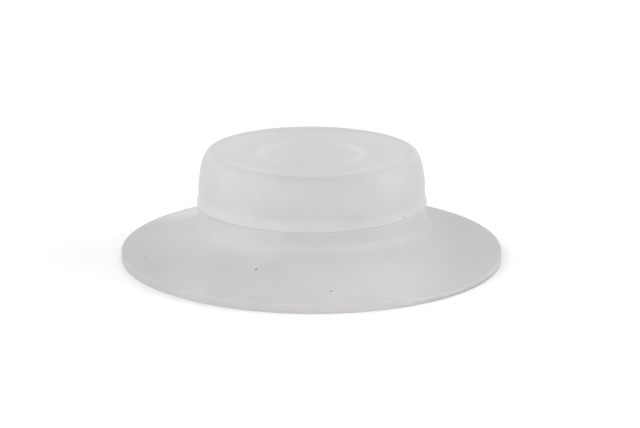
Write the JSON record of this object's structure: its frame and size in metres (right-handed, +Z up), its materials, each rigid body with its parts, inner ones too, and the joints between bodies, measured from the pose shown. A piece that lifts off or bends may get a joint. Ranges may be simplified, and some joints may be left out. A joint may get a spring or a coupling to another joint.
{
  "type": "sink plunger",
  "caption": "Low hat-shaped sink plunger in frosted translucent silicone, with a dished cap for the palm and a wide flared bell.",
  "frame": {"origin": "middle of the round mouth, in the plane of the lip's underside, which is what rests on the sink", "axes": "+Z up along the axis of revolution, from the mouth towards the palm; +X and +Y are any two directions across the mouth"},
  "size_m": [0.11, 0.11, 0.0312],
  "materials": {
    "lip_silicone": "frosted translucent silicone, satin",
    "bell_silicone": "frosted translucent silicone, satin, thin",
    "collar_silicone": "frosted translucent silicone, matt",
    "cap_silicone": "frosted translucent silicone, satin",
    "dish_silicone": "frosted translucent silicone, smooth satin"
  },
  "bodies": {
    "lip": {"sealing_lip": "lip_silicone", "bell_skirt": "bell_silicone"},
    "crown": {"neck_collar": "collar_silicone", "palm_cap": "cap_silicone"},
    "dish": {"palm_dish": "dish_silicone"}
  },
  "joints": [
    {"name": "press", "type": "slide", "parent": "lip", "child": "crown", "axis": [0, 0, -1], "range_m": [-0.002, 0.007], "stiffness_N_per_m": 1500, "deforming": ["bell_skirt"]},
    {"name": "dish_flex", "type": "slide", "parent": "crown", "child": "dish", "axis": [0, 0, -1], "range_m": [0, 0.002], "stiffness_N_per_m": 3000, "deforming": ["palm_dish"]}
  ]
}
